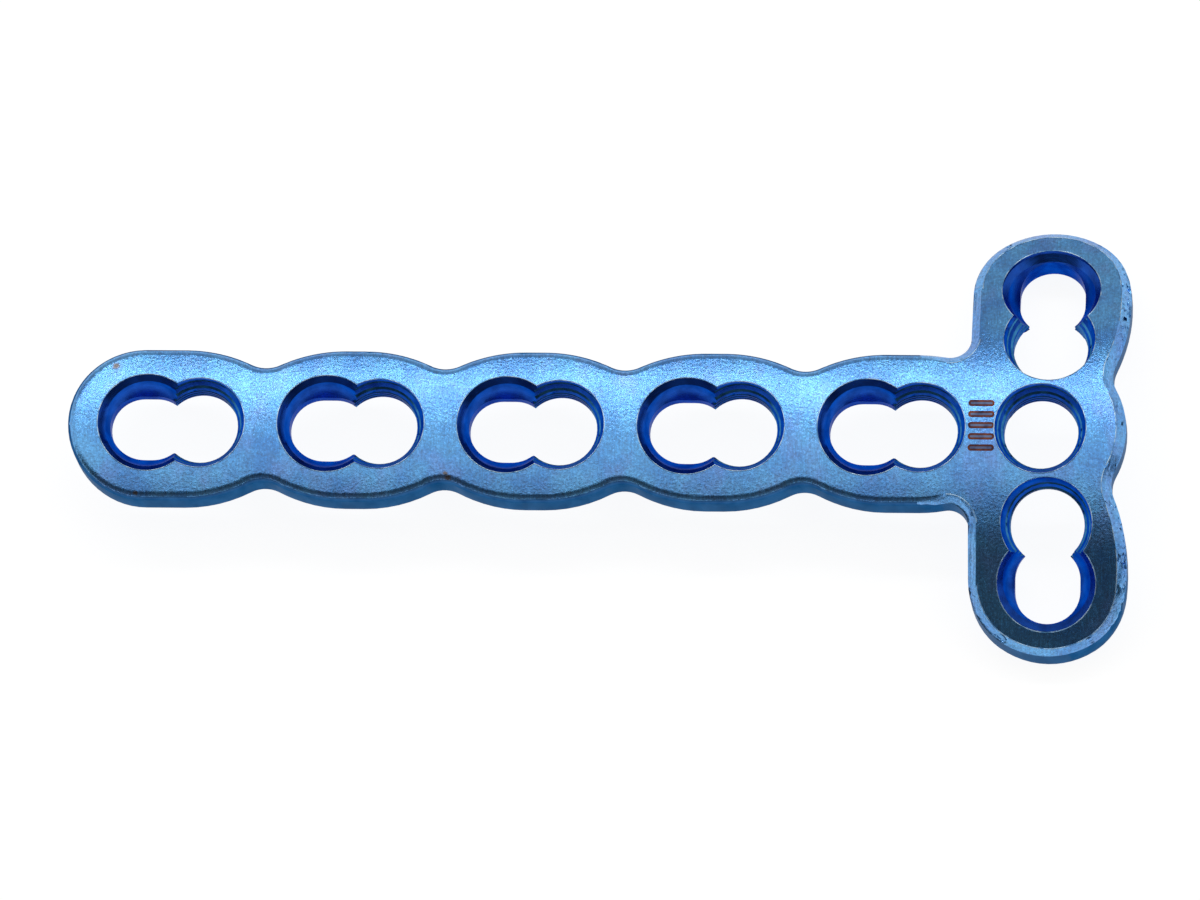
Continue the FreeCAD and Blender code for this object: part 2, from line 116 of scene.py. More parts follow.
def stretched_noise(tree, place, scale, size, detail=3.0, rough=0.6):
    """Noise on a place stretched by scale, as the value of its factor."""
    mapped = node_line(
        tree, "ShaderNodeMapping", {"Scale": scale}, {"Vector": place}
    ).outputs["Vector"]
    noise = node_line(
        tree,
        "ShaderNodeTexNoise",
        {"Scale": size, "Detail": detail, "Roughness": rough},
        {"Vector": mapped},
    )
    return noise.outputs["Fac"]


def remapped(tree, value, low, high, to_low, to_high):
    """The value moved from one range to another, held inside the second."""
    ranged = node_line(
        tree,
        "ShaderNodeMapRange",
        {"From Min": low, "From Max": high, "To Min": to_low, "To Max": to_high},
        {"Value": value},
    )
    return ranged.outputs["Result"]


def blended(tree, factor, one, other):
    """Two colours mixed by a factor; each is a colour or another node's output."""
    mix = node_line(tree, "ShaderNodeMix", data_type="RGBA")
    tree.links.new(factor, mix.inputs[0])
    for socket, colour in ((mix.inputs[6], one), (mix.inputs[7], other)):
        if isinstance(colour, tuple):
            socket.default_value = colour
        else:
            tree.links.new(colour, socket)
    return mix.outputs[2]


def stained(tree, place, colour):
    """The colour with a few small brown stains on it, ragged at their edges."""
    ragged = node_line(
        tree, "ShaderNodeTexNoise", {"Scale": STAIN_RAGGED, "Detail": 3.0}, {"Vector": place}
    ).outputs["Color"]
    shifted = node_line(
        tree,
        "ShaderNodeVectorMath",
        {1: (STAIN_SHIFT, STAIN_SHIFT, STAIN_SHIFT)},
        {0: ragged, 2: place},
        operation="MULTIPLY_ADD",
    ).outputs["Vector"]
    for x, y, size in STAINS:
        height = screw_side(y * MM)[0] / MM
        away = node_line(
            tree,
            "ShaderNodeVectorMath",
            {1: tuple(part + STAIN_SHIFT / 2 for part in (x, y, height))},
            {0: shifted},
            operation="DISTANCE",
        ).outputs["Value"]
        share = remapped(tree, away, 0.5 * size, size, STAIN_SHARE, 0.0)
        colour = blended(tree, share, colour, STAIN_COLOUR)
    return colour


def oxide_metal(shader, edge_tint):
    """Metal whose colour, unlike a bare one's, stays blue where it is seen at a low angle."""
    shader.inputs["Metallic"].default_value = 1.0
    shader.inputs["Specular Tint"].default_value = edge_tint


def anodised_face():
    """Blasted, cross-brushed skin: grain, painted glint, faint lines across, violet and teal
    drift.
    """
    material, tree, place, shader = new_finish("anodised_face")
    deep, sky, violet = (0.020, 0.22, 0.62, 1), (0.065, 0.35, 0.74, 1), (0.12, 0.25, 0.66, 1)
    clouds = stretched_noise(tree, place, (1, 1, 1), 0.30, detail=4.0)
    hue = blended(tree, remapped(tree, clouds, 0.38, 0.62, 0, 1), deep, sky)
    drift = stretched_noise(tree, place, (1.0, 0.6, 1.0), 0.45, detail=3.0)
    tinted = blended(tree, remapped(tree, drift, 0.52, 0.72, 0, 0.5), hue, violet)
    brush = stretched_noise(tree, place, (12.0, 0.6, 0.6), 1.5, detail=4.0, rough=0.7)
    shade = remapped(tree, brush, 0.3, 0.7, 0.74, 1.20)
    lined = node_line(
        tree, "ShaderNodeVectorMath", links={0: tinted, 1: shade}, operation="MULTIPLY"
    ).outputs["Vector"]
    grain = stretched_noise(tree, place, (1, 1, 1), 5.5, detail=3.0, rough=0.7)
    speckle = remapped(tree, grain, 0.32, 0.68, 0.66, 1.34)
    flecked = node_line(
        tree, "ShaderNodeVectorMath", links={0: lined, 1: speckle}, operation="MULTIPLY"
    ).outputs["Vector"]
    # The pale flecks are painted glint: grain made whiter to stand in for the white sparkle of the
    # blast.
    painted_glint = remapped(tree, grain, 0.60, 0.72, 0, 0.25)
    grain_and_painted_glint = blended(tree, painted_glint, flecked, (0.45, 0.70, 0.90, 1))
    tree.links.new(stained(tree, place, grain_and_painted_glint), shader.inputs["Base Color"])
    tree.links.new(remapped(tree, brush, 0.3, 0.7, 0.19, 0.29), shader.inputs["Roughness"])
    relief = node_line(
        tree, "ShaderNodeMath", {1: 1.6}, {0: grain, 2: brush}, operation="MULTIPLY_ADD"
    ).outputs["Value"]
    bump = node_line(
        tree, "ShaderNodeBump", {"Strength": 0.45, "Distance": 0.03 * MM}, {"Height": relief}
    )
    oxide_metal(shader, (0.35, 0.50, 0.75, 1))
    shader.inputs["Coat Weight"].default_value = 1.0
    shader.inputs["Coat Roughness"].default_value = 0.16
    shader.inputs["Coat IOR"].default_value = 1.8
    for socket in ("Normal", "Coat Normal"):
        tree.links.new(bump.outputs["Normal"], shader.inputs[socket])
    return material


def shaded_milled_side():
    """The outline's upright walls: milled, not blasted, with a thinner colour, darkened as painted
    shade.
    """
    material, tree, place, shader = new_finish("shaded_milled_side")
    dark, blue = (0.020, 0.080, 0.22, 1), (0.035, 0.13, 0.32, 1)
    cloud = stretched_noise(tree, place, (1, 1, 0.4), 0.8, detail=3.0)
    hue = blended(tree, remapped(tree, cloud, 0.35, 0.65, 0, 1), dark, blue)
    tree.links.new(hue, shader.inputs["Base Color"])
    shader.inputs["Roughness"].default_value = 0.36
    oxide_metal(shader, (0.39, 0.50, 0.62, 1))
    return material


def shaded_machined_seat():
    """Turned mouths, ball seats and slots: smoother and more even, royal blue to navy, dark as
    painted shade.
    """
    material, tree, place, shader = new_finish("shaded_machined_seat")
    navy, royal = (0.012, 0.055, 0.30, 1), (0.016, 0.095, 0.50, 1)
    cloud = stretched_noise(tree, place, (1, 1, 1), 0.9, detail=2.0)
    hue = blended(tree, remapped(tree, cloud, 0.35, 0.65, 0, 1), navy, royal)
    tree.links.new(hue, shader.inputs["Base Color"])
    turning = stretched_noise(tree, place, (0.6, 0.6, 18.0), 1.4, detail=2.0)
    tree.links.new(remapped(tree, turning, 0.3, 0.7, 0.22, 0.34), shader.inputs["Roughness"])
    bump = node_line(
        tree, "ShaderNodeBump", {"Strength": 0.12, "Distance": 0.02 * MM}, {"Height": turning}
    )
    tree.links.new(bump.outputs["Normal"], shader.inputs["Normal"])
    oxide_metal(shader, (0.33, 0.38, 0.62, 1))
    return material


# The locking threads: a groove of even pitch, cut outward from each threaded half's bore. It
# is a spiral with a three-cornered profile that narrows with the mouth, then keeps its width.
THREAD_PITCH = 0.50
THREAD_ANGLE = 60.0
GROOVE_TOP_RADIUS = 3.06
GROOVE_BORE_RADIUS = 2.72
GROOVE_TAPER = 0.358
GROOVE_TOP_DEPTH = 0.45
GROOVE_LOW_DEPTH = 3.15
GROOVE_REACH = 0.5
BORE_DEPTH = 1.4
TURN_STEPS = 36
THREAD_HOLES = [m for m in frame["record"]["mounts"] if m["kind"] == "threaded_hole"]


def shaded_thread_finish():
    """Thread flanks: the same oxide on a cut surface, a little greener, and darker as painted
    shade.
    """
    material, tree, place, shader = new_finish("shaded_thread_flank")
    shadow, teal = (0.02, 0.12, 0.30, 1), (0.05, 0.24, 0.50, 1)
    cloud = stretched_noise(tree, place, (1, 1, 1), 1.4, detail=2.0)
    hue = blended(tree, remapped(tree, cloud, 0.35, 0.65, 0, 1), shadow, teal)
    tree.links.new(hue, shader.inputs["Base Color"])
    tree.links.new(remapped(tree, cloud, 0.3, 0.7, 0.22, 0.34), shader.inputs["Roughness"])
    oxide_metal(shader, (0.30, 0.38, 0.50, 1))
    return material


def opened_tree(name, sizes):
    """A new Geometry Nodes tree with a mesh and its named sizes, in millimetres, going in."""
    tree = bpy.data.node_groups.new(name, "GeometryNodeTree")
    tree.interface.new_socket("Geometry", in_out="INPUT", socket_type="NodeSocketGeometry")
    inputs = {}
    for size in sizes:
        socket = tree.interface.new_socket(size, in_out="INPUT", socket_type="NodeSocketFloat")
        inputs[size] = socket.identifier
    tree.interface.new_socket("Geometry", in_out="OUTPUT", socket_type="NodeSocketGeometry")
    return tree, inputs, node_line(tree, "NodeGroupInput").outputs


def sum_of(tree, operation, one, other):
    """One sum of two values, each a number or another node's output."""
    node = node_line(tree, "ShaderNodeMath", operation=operation)
    for socket, value in zip(node.inputs, (one, other)):
        if isinstance(value, float):
            socket.default_value = value
        else:
            tree.links.new(value, socket)
    return node.outputs[0]


def closed_tree(tree, shape, material):
    """Ends a tree: its instances are made real and the whole gets its material."""
    real = node_line(
        tree, "GeometryNodeRealizeInstances", links={"Geometry": shape}
    ).outputs["Geometry"]
    coloured = node_line(
        tree, "GeometryNodeSetMaterial", {"Material": material}, {"Geometry": real}
    ).outputs["Geometry"]
    node_line(tree, "NodeGroupOutput", links={"Geometry": coloured})


def plain_copy(thing, name):
    """What an object's modifiers make of it, as a new object with a plain mesh."""
    seen = thing.evaluated_get(bpy.context.evaluated_depsgraph_get())
    mesh = bpy.data.meshes.new_from_object(seen)
    copy = bpy.data.objects.new(name, mesh)
    bpy.context.scene.collection.objects.link(copy)
    return copy


def grown(name, seed, tree, inputs, values):
    """The plain mesh object that a tree makes of a seed mesh, with these sizes going in."""
    thing = bpy.data.objects.new(f"{name}_seed", seed)
    bpy.context.scene.collection.objects.link(thing)
    modifier = thing.modifiers.new(name, "NODES")
    modifier.node_group = tree
    for size, value in values.items():
        modifier[inputs[size]] = value
    made = plain_copy(thing, name)
    bpy.data.objects.remove(thing)
    return made


def thread_tree(material):
    """A Geometry Nodes tree: one spiral groove, repeated at every point of the mesh."""
    sizes = ("Pitch", "Top radius", "Bore radius", "Taper", "Height", "Reach", "Half width")
    tree, inputs, given = opened_tree("locking_threads", sizes)
    turns = sum_of(tree, "DIVIDE", given["Height"], given["Pitch"])
    spiral = node_line(
        tree,
        "GeometryNodeCurveSpiral",
        {"Resolution": TURN_STEPS, "Start Radius": 1.0, "End Radius": 1.0},
        {"Rotations": turns, "Height": given["Height"]},
    ).outputs["Curve"]
    spot = node_line(tree, "GeometryNodeInputPosition").outputs[0]
    level = node_line(tree, "ShaderNodeSeparateXYZ", links={"Vector": spot}).outputs["Z"]
    depth = sum_of(tree, "SUBTRACT", given["Height"], level)
    narrowed = sum_of(tree, "MULTIPLY", depth, given["Taper"])
    mouth = sum_of(tree, "SUBTRACT", given["Top radius"], narrowed)
    radius = sum_of(tree, "MAXIMUM", mouth, given["Bore radius"])
    growth = node_line(
        tree, "ShaderNodeCombineXYZ", {"Z": 1.0}, {"X": radius, "Y": radius}
    ).outputs[0]
    widened = node_line(
        tree, "ShaderNodeVectorMath", links={0: spot, 1: growth}, operation="MULTIPLY"
    ).outputs["Vector"]
    groove = node_line(
        tree, "GeometryNodeSetPosition", links={"Geometry": spiral, "Position": widened}
    ).outputs["Geometry"]
    upright = node_line(
        tree, "GeometryNodeSetCurveNormal", links={"Curve": groove}, mode="Z_UP"
    ).outputs["Curve"]
    reach, upper = given["Reach"], given["Half width"]
    lower = sum_of(tree, "MULTIPLY", upper, -1.0)
    tip = node_line(tree, "ShaderNodeCombineXYZ")
    top = node_line(tree, "ShaderNodeCombineXYZ", links={"X": reach, "Y": upper})
    foot = node_line(tree, "ShaderNodeCombineXYZ", links={"X": reach, "Y": lower})
    profile = node_line(tree, "GeometryNodeCurvePrimitiveQuadrilateral", mode="POINTS")
    for number, corner in enumerate((tip, top, foot, foot), 1):
        tree.links.new(corner.outputs[0], profile.inputs[f"Point {number}"])
    sweep = node_line(
        tree,
        "GeometryNodeCurveToMesh",
        {"Fill Caps": True},
        {"Curve": upright, "Profile Curve": profile.outputs["Curve"]},
    ).outputs["Mesh"]
    lean = node_line(
        tree, "GeometryNodeInputNamedAttribute", {"Name": "lean"}, data_type="FLOAT_VECTOR"
    ).outputs["Attribute"]
    turned = node_line(
        tree, "FunctionNodeEulerToRotation", links={"Euler": lean}
    ).outputs["Rotation"]
    placed = node_line(
        tree,
        "GeometryNodeInstanceOnPoints",
        links={"Points": given["Geometry"], "Instance": sweep, "Rotation": turned},
    ).outputs["Instances"]
    closed_tree(tree, placed, material)
    return tree, inputs


def hole_mouth(mount):
    """The middle of a threaded half's mouth, in millimetres, and its axis."""
    axis = Vector(mount["axis"])
    rise = BORE_DEPTH + mount["dims"]["length_mm"] / 2
    return Vector(mount["pos_m"]) / MM + axis * rise, axis


def thread_cutters(material):
    """The grooves of all threaded halves as one plain mesh object, in millimetres."""
    seed = bpy.data.meshes.new("thread_places")
    places, leans = [], []
    for mount in THREAD_HOLES:
        mouth, axis = hole_mouth(mount)
        places.append(mouth - axis * GROOVE_LOW_DEPTH)
        leans.append(axis.to_track_quat("Z", "Y").to_euler())
    seed.from_pydata(places, [], [])
    lean = seed.attributes.new("lean", "FLOAT_VECTOR", "POINT")
    for item, angles in zip(lean.data, leans):
        item.vector = angles
    values = {
        "Pitch": THREAD_PITCH,
        "Top radius": GROOVE_TOP_RADIUS,
        "Bore radius": GROOVE_BORE_RADIUS,
        "Taper": GROOVE_TAPER,
        "Height": GROOVE_LOW_DEPTH - GROOVE_TOP_DEPTH,
        "Reach": GROOVE_REACH,
        "Half width": GROOVE_REACH * math.tan(math.radians(THREAD_ANGLE / 2)),
    }
    return grown("thread_grooves", seed, *thread_tree(material), values)


# The body of the plate: the CAD solid, its head's edge made the crisp bevel of the real one,
# with the threads cut into it. Each opening is a threaded half, alone or with a ball seat.
EDGE_ROUNDING = 0.65
BEVEL_FROM, BEVEL_FULL = 21.3, 23.3
SEEN_LEAST, DROP_LEAST, HOLE_MARGIN = 0.05, 0.008, 0.1
WELD = 0.0005
SEAT_REACH = 3.36
THREAD_REACH = 3.12
SEAT_GAP_SHAFT = 3.49
THREAD_STEP_ARM, SEAT_STEP_ARM = 2.05, 1.95
SHARP_ANGLE = math.radians(28.0)
SLIVER_AREA = 1.5e-9
ROUND_SLOPE, WALL_SLOPE, CORNER_SHARE = 0.64, 0.40, 0.08
ON_SURFACE = 0.004 * MM
NEAR_FACE = 5 * ON_SURFACE
FACE_MATCH = 0.99


def hole_axes():
    """Each threaded half and ball seat: a point on its axis, its direction and its reach."""
    axes = []
    for mount in THREAD_HOLES:
        place, axis = Vector(mount["pos_m"]) / MM, Vector(mount["axis"])
        axes.append((place, axis, THREAD_REACH))
        if mount["name"].startswith("shaft"):
            axes.append((place - Vector((SEAT_GAP_SHAFT, 0, 0)), axis, SEAT_REACH))
        elif mount["name"].startswith("arm"):
            side = math.copysign(1.0, place.y)
            slope = Vector((0, side * math.sin(ARM_SLOPE), math.cos(ARM_SLOPE)))
            middle = hole_mouth(mount)[0]
            middle += Vector((0, side * axis.z, -abs(axis.y))) * THREAD_STEP_ARM
            seat = middle + Vector((0, side * slope.z, -abs(slope.y))) * SEAT_STEP_ARM
            axes.append((seat, slope, SEAT_REACH))
    return axes


def off_axis(place, point, axis):
    """How far a place lies from the axis through a point."""
    away = place - point
    return (away - axis * away.dot(axis)).length


def merged(mesh):
    """Joins the mesh's doubled points, drops its empty faces and turns the rest outward."""
    work = bmesh.new()
    work.from_mesh(mesh)
    bmesh.ops.remove_doubles(work, verts=work.verts, dist=WELD)
    bmesh.ops.dissolve_degenerate(work, edges=work.edges, dist=WELD)
    bmesh.ops.recalc_face_normals(work, faces=work.faces)
    work.to_mesh(mesh)
    work.free()


def bevelled(mesh):
    """Flattens the rounded upper edge of the head into the crisp bevel that it has there."""
    holes = hole_axes()
    for vertex in mesh.vertices:
        place, normal = vertex.co, vertex.normal
        share = (place.x - BEVEL_FROM) / (BEVEL_FULL - BEVEL_FROM)
        if share <= 0 or normal.z < SEEN_LEAST:
            continue
        height, above = screw_side(place.y * MM)
        below = (height / MM - place.z) * above.z
        outer = all(
            off_axis(place, point, axis) > reach + HOLE_MARGIN for point, axis, reach in holes
        )
        outward = Vector((normal.x, normal.y, 0)) - above * (normal.z / above.z)
        outward.z = 0
        rounded = DROP_LEAST < below < EDGE_ROUNDING
        if not outer or not rounded or outward.length < SEEN_LEAST:
            continue
        outward.normalize()
        turned = math.acos(1 - below / EDGE_ROUNDING)
        half = above.angle(outward) / 2
        proud = EDGE_ROUNDING * (math.cos(turned - half) - math.cos(half))
        vertex.co = place - (above + outward).normalized() * max(proud, 0) * min(share, 1.0)


def threaded_plate():
    """A merged copy of the CAD solid, with the grooves cut away, still in millimetres."""
    mesh = frame["nodes"][PLATE_NODE].data.copy()
    mesh.transform(Matrix.Scale(1 / MM, 4))
    merged(mesh)
    bevelled(mesh)
    blank = bpy.data.objects.new("plate_blank", mesh)
    bpy.context.scene.collection.objects.link(blank)
    mesh.materials.clear()
    for material in (anodised_face(), shaded_machined_seat(), shaded_milled_side()):
        mesh.materials.append(material)
    grooves = thread_cutters(shaded_thread_finish())
    merged(grooves.data)
    cut = blank.modifiers.new("thread_cut", "BOOLEAN")
    cut.operation = "DIFFERENCE"
    cut.solver = "MANIFOLD"
    cut.material_mode = "TRANSFER"
    cut.object = grooves
    plate = plain_copy(blank, "bone_plate_finished")
    for spare in (blank, grooves):
        bpy.data.objects.remove(spare)
    return plate


def give_hole_finish(mesh):
    """Faces inside a hole and upright outer walls get their own finishes, darker as painted shade.
    """
    holes = hole_axes()
    names = [material.name for material in mesh.materials]
    skin, seat, wall = (
        names.index(name) for name in ("anodised_face", "shaded_machined_seat", "shaded_milled_side")
    )
    for face in mesh.polygons:
        if face.material_index != skin:
            continue
        place = face.center * MM
        if any(
            abs(place.z - side(place.y)[0]) < NEAR_FACE
            and face.normal.dot(side(place.y)[1]) > FACE_MATCH
            for side in (screw_side, bone_side)
        ):
            continue
        if any(off_axis(face.center, point, axis) < reach for point, axis, reach in holes):
            face.material_index = seat
        corner = min(abs(mesh.vertices[spot].normal.z) for spot in face.vertices)
        slope = ROUND_SLOPE if face.center.x < BEVEL_FROM else WALL_SLOPE
        upright = abs(face.normal.z) < slope and corner < slope + CORNER_SHARE
        if face.material_index == skin and upright:
            face.material_index = wall


def true_normals(mesh):
    """Smooth shading between sharp edges, with the crown's own normals on its two faces."""
    work = bmesh.new()
    work.from_mesh(mesh)
    for face in work.faces:
        face.smooth = True
    for edge in work.edges:
        if len(edge.link_faces) == 2:
            thin = min(face.calc_area() for face in edge.link_faces) < SLIVER_AREA
            edge.smooth = thin or edge.calc_face_angle() < SHARP_ANGLE
    work.to_mesh(mesh)
    work.free()
    normals = [Vector(corner.vector) for corner in mesh.corner_normals]
    for face in mesh.polygons:
        for corner in face.loop_indices:
            place = mesh.vertices[mesh.loops[corner].vertex_index].co
            for side in (screw_side, bone_side):
                height, normal = side(place.y)
                near = abs(place.z - height) < ON_SURFACE
                if near and face.normal.dot(normal) > math.cos(SHARP_ANGLE):
                    normals[corner] = normal.normalized()
    mesh.normals_split_custom_set(normals)


plate = threaded_plate()
give_hole_finish(plate.data)
plate.data.transform(Matrix.Scale(MM, 4))
true_normals(plate.data)
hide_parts(PLATE_NODE)
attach(plate, "root")

# The rims: the sharp upper edges of the eight openings and of the head's bevel, each with a
# fine round bead along it whose pale colour is a painted highlight, the thin bright line they
# show.
RIM_RADIUS = 0.035
RIM_SIDES = 6.0
RIM_REACH = 0.12
LONGEST_LINE = 0.8 * MM


def highlit_rim_metal():
    """Pale metal, a little blue, mottled with a darker blue: a painted highlight along the rims.
    """
    material, tree, place, shader = new_finish("rim_highlight")
    cloud = stretched_noise(tree, place, (1, 1, 1), 1.2, detail=3.0)
    # The pale colour is a painted highlight: the bright line that the rims catch from the lamp.
    thin, bare = (0.10, 0.26, 0.48, 1), (0.50, 0.70, 0.86, 1)
    hue = blended(tree, remapped(tree, cloud, 0.4, 0.6, 0, 1), thin, bare)
    tree.links.new(hue, shader.inputs["Base Color"])
    shader.inputs["Metallic"].default_value = 1.0
    shader.inputs["Roughness"].default_value = 0.28
    return material


def rim_edges(mesh):
    """The sharp edges of the upper face, round the openings and along the head's bevel."""
    holes = hole_axes()
    faces = {}
    for face in mesh.polygons:
        for pair in face.edge_keys:
            faces.setdefault(pair, []).append(face.normal)
    places, pairs, numbers = [], [], {}
    for edge in mesh.edges:
        normals = faces[edge.key]
        if len(normals) != 2 or normals[0].angle(normals[1], 0.0) < SHARP_ANGLE:
            continue
        ends = [mesh.vertices[spot].co for spot in edge.key]
        if any(abs(end.z - screw_side(end.y)[0]) > ON_SURFACE for end in ends):
            continue
        middle = (ends[0] + ends[1]) / 2 / MM
        near = (
            off_axis(middle, point, axis) < reach + RIM_REACH for point, axis, reach in holes
        )
        line = (ends[0] - ends[1]).length < LONGEST_LINE and middle.x > BEVEL_FULL
        if any(near) or line:
            for spot, end in zip(edge.key, ends):
                if spot not in numbers:
                    numbers[spot] = len(places)
                    places.append(end / MM)
            pairs.append(tuple(numbers[spot] for spot in edge.key))
    return places, pairs


def bead_tree(material):
    """A Geometry Nodes tree: a closed round bead along every chain of edges."""
    tree, inputs, given = opened_tree("rim_beads", ("Radius", "Sides"))
    path = node_line(
        tree, "GeometryNodeMeshToCurve", links={"Mesh": given["Geometry"]}
    ).outputs["Curve"]
    ring = node_line(
        tree,
        "GeometryNodeCurvePrimitiveCircle",
        links={"Radius": given["Radius"], "Resolution": given["Sides"]},
    ).outputs["Curve"]
    bead = node_line(
        tree,
        "GeometryNodeCurveToMesh",
        {"Fill Caps": True},
        {"Curve": path, "Profile Curve": ring},
    ).outputs["Mesh"]
    closed_tree(tree, bead, material)
    return tree, inputs


def beads(name, places, pairs, radius, material):
    """Fine round beads along the given edges, as a plain mesh piece that rides on the plate."""
    path = bpy.data.meshes.new(f"{name}_path")
    path.from_pydata(places, pairs, [])
    piece = grown(name, path, *bead_tree(material), {"Radius": radius, "Sides": RIM_SIDES})
    piece.data.transform(Matrix.Scale(MM, 4))
    for face in piece.data.polygons:
        face.use_smooth = True
    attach(piece, "root")


beads("highlit_rims", *rim_edges(plate.data), RIM_RADIUS, highlit_rim_metal())

# The etched marks: five plain bars across the neck of the plate, one for each shaft hole,
# drawn by a laser that left a red-brown rim and a greyer middle in the blue oxide.
BAR_COUNT = 5
BAR_LENGTH = 1.75
BAR_WIDTH = 0.44
BAR_CORE = 0.15
BAR_STEP = 0.76
BAR_PLACE_X = 25.6
BAR_PLACE_Y = 0.12
BAR_LIFT = 0.003
BAR_CORNER = 0.45
BAR_CORNER_STEPS = 3
BAR_WELD = 0.0001
ETCH_MOTTLE = 1.6
RIM_BROWNS = (0.035, 0.008, 0.018, 1), (0.17, 0.040, 0.014, 1)
CORE_GREYS = (0.05, 0.07, 0.16, 1), (0.13, 0.18, 0.32, 1)


def etched_finish(name, dark, light):
    """An etched line: oxide of another colour, mottled along its length."""
    material, tree, place, shader = new_finish(name)
    mottle = stretched_noise(tree, place, (1, 1, 1), ETCH_MOTTLE, detail=2.0)
    hue = blended(tree, remapped(tree, mottle, 0.35, 0.65, 0, 1), dark, light)
    tree.links.new(hue, shader.inputs["Base Color"])
    shader.inputs["Metallic"].default_value = 0.6
    shader.inputs["Roughness"].default_value = 0.5
    return material


def bars_tree(material):
    """A Geometry Nodes tree: rounded bars in a row, laid on the crown as thin closed solids."""
    sizes = ("Count", "Step", "Length", "Width", "Place X", "Place Y", "Top", "Crown", "Lift")
    tree, inputs, given = opened_tree("etched_bars", sizes)
    bar = node_line(
        tree,
        "GeometryNodeCurvePrimitiveQuadrilateral",
        links={"Width": given["Length"], "Height": given["Width"]},
    ).outputs["Curve"]
    corner = sum_of(tree, "MULTIPLY", given["Width"], BAR_CORNER)
    rounded = node_line(
        tree,
        "GeometryNodeFilletCurve",
        {"Count": BAR_CORNER_STEPS},
        {"Curve": bar, "Radius": corner},
        mode="POLY",
    ).outputs["Curve"]
    sheet = node_line(tree, "GeometryNodeFillCurve", links={"Curve": rounded}).outputs["Mesh"]
    thick = node_line(
        tree, "GeometryNodeExtrudeMesh", links={"Mesh": sheet, "Offset Scale": given["Lift"]}
    )
    under = node_line(tree, "GeometryNodeFlipFaces", links={"Mesh": sheet}).outputs["Mesh"]
    both = node_line(tree, "GeometryNodeJoinGeometry")
    tree.links.new(thick.outputs["Mesh"], both.inputs[0])
    tree.links.new(under, both.inputs[0])
    solid = node_line(
        tree,
        "GeometryNodeMergeByDistance",
        {"Distance": BAR_WELD},
        {"Geometry": both.outputs["Geometry"]},
    ).outputs["Geometry"]
    gaps = sum_of(tree, "SUBTRACT", given["Count"], 1.0)
    half_row = sum_of(tree, "MULTIPLY", sum_of(tree, "MULTIPLY", gaps, given["Step"]), 0.5)
    first = sum_of(tree, "SUBTRACT", given["Place Y"], half_row)
    start = node_line(tree, "ShaderNodeCombineXYZ", links={"X": given["Place X"], "Y": first})
    step = node_line(tree, "ShaderNodeCombineXYZ", links={"Y": given["Step"]})
    row = node_line(
        tree,
        "GeometryNodeMeshLine",
        links={
            "Count": given["Count"],
            "Start Location": start.outputs[0],
            "Offset": step.outputs[0],
        },
    ).outputs["Mesh"]
    placed = node_line(
        tree, "GeometryNodeInstanceOnPoints", links={"Points": row, "Instance": solid}
    ).outputs["Instances"]
    real = node_line(
        tree, "GeometryNodeRealizeInstances", links={"Geometry": placed}
    ).outputs["Geometry"]
    spot = node_line(tree, "GeometryNodeInputPosition").outputs[0]
    across = node_line(tree, "ShaderNodeSeparateXYZ", links={"Vector": spot}).outputs["Y"]
    squared = sum_of(
        tree,
        "SUBTRACT",
        sum_of(tree, "MULTIPLY", given["Crown"], given["Crown"]),
        sum_of(tree, "MULTIPLY", across, across),
    )
    drop = sum_of(tree, "SUBTRACT", given["Crown"], sum_of(tree, "SQRT", squared, 0.0))
    height = sum_of(tree, "SUBTRACT", given["Top"], drop)
    rise = node_line(tree, "ShaderNodeCombineXYZ", links={"Z": height}).outputs[0]
    laid = node_line(
        tree, "GeometryNodeSetPosition", links={"Geometry": real, "Offset": rise}
    ).outputs["Geometry"]
    closed_tree(tree, laid, material)
    return tree, inputs


def etched_bars(name, length, width, lift, material):
    """One layer of the marks as a plain mesh piece that rides on the plate."""
    values = {
        "Count": float(BAR_COUNT),
        "Step": BAR_STEP,
        "Length": length,
        "Width": width,
        "Place X": BAR_PLACE_X,
        "Place Y": BAR_PLACE_Y,
        "Top": PLATE_TOP / MM,
        "Crown": CROWN_RADIUS / MM,
        "Lift": lift,
    }
    seed = bpy.data.meshes.new(f"{name}_seed")
    piece = grown(name, seed, *bars_tree(material), values)
    piece.data.transform(Matrix.Scale(MM, 4))
    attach(piece, "root")


rim_finish = etched_finish("etched_rim", *RIM_BROWNS)
etched_bars("etched_rims", BAR_LENGTH, BAR_WIDTH, BAR_LIFT, rim_finish)
core_length = BAR_LENGTH - BAR_WIDTH + BAR_CORE
core_finish = etched_finish("etched_core", *CORE_GREYS)
etched_bars("etched_cores", core_length, BAR_CORE, 2 * BAR_LIFT, core_finish)

# The floor: a wide pale sheet that the plate lies over, lit a little past its own white so
# that only the plate's soft shadow shows on it.
FLOOR_SIDE = 3.0
FLOOR_COLOUR = (0.93, 0.935, 0.94, 1)
FLOOR_GLOW = 0.8
FLOOR_LIGHT = 1.12
FLOOR_DROP = 0.02 * MM


def pale_floor():
    """A white floor; camera and mirror rays see most of it as plain white."""
    bpy.ops.mesh.primitive_plane_add(size=FLOOR_SIDE, location=(0, 0, -FLOOR_DROP))
    sheet = bpy.context.object
    sheet.name = "floor"
    material = bpy.data.materials.new("pale_floor")
    material.use_nodes = True
    tree = material.node_tree
    tree.nodes.clear()
    matt = node_line(tree, "ShaderNodeBsdfDiffuse", {"Color": FLOOR_COLOUR})
    white = node_line(tree, "ShaderNodeEmission", {"Color": (1, 1, 1, 1), "Strength": FLOOR_LIGHT})
    path = node_line(tree, "ShaderNodeLightPath").outputs
    seen = path["Is Camera Ray"]
    for ray in ("Is Glossy Ray", "Is Transmission Ray"):
        seen = sum_of(tree, "ADD", seen, path[ray])
    share = sum_of(tree, "MULTIPLY", seen, FLOOR_GLOW)
    mix = node_line(
        tree,
        "ShaderNodeMixShader",
        links={0: share, 1: matt.outputs[0], 2: white.outputs[0]},
    )
    node_line(tree, "ShaderNodeOutputMaterial", links={"Surface": mix.outputs[0]})
    sheet.data.materials.append(material)


pale_floor()

